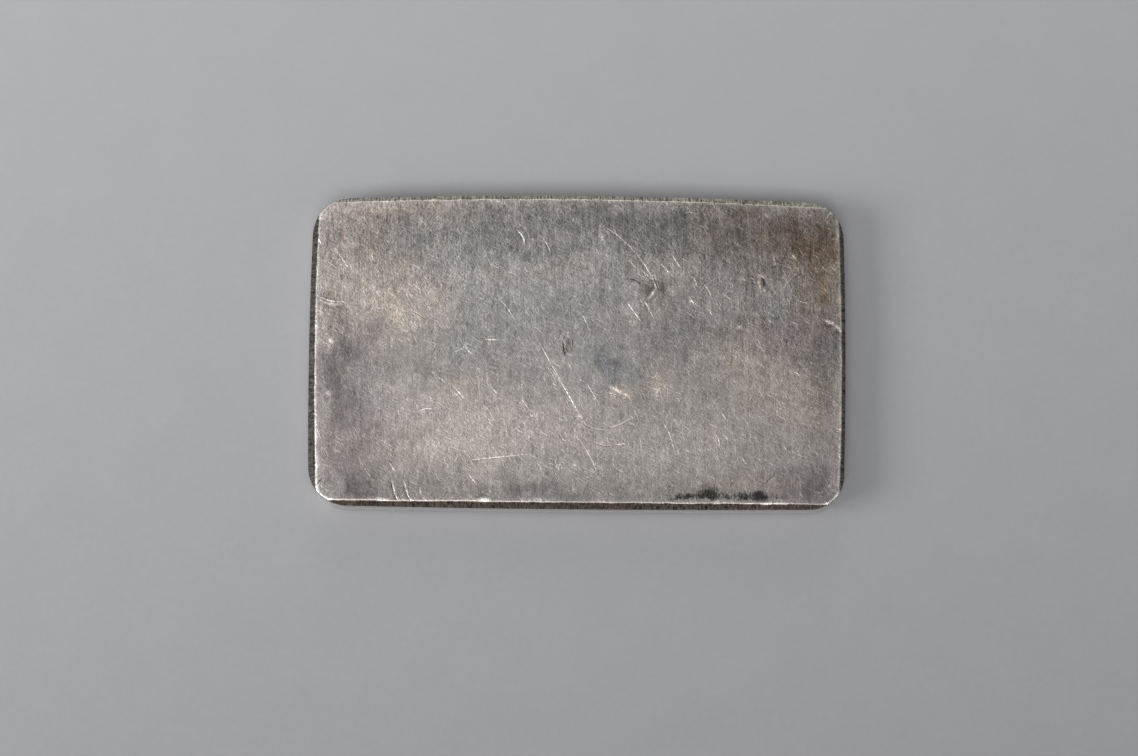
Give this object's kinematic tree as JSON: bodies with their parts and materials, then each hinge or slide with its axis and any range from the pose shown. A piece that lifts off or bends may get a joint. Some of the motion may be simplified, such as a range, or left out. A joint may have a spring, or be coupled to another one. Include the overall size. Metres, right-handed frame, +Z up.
{
  "type": "metal ingot",
  "caption": "Flat rectangular bar of tarnished solid silver with round corners and sloping cuts along its edges.",
  "frame": {"origin": "middle of the flat face that the bar lies on", "axes": "+X along the length, +Y along the width, towards the side that bows out most, +Z up through the thickness"},
  "size_m": [0.0846, 0.05, 0.0072],
  "materials": {
    "silver": "satin"
  },
  "bodies": {
    "root": {"ingot": "silver"}
  },
  "joints": []
}
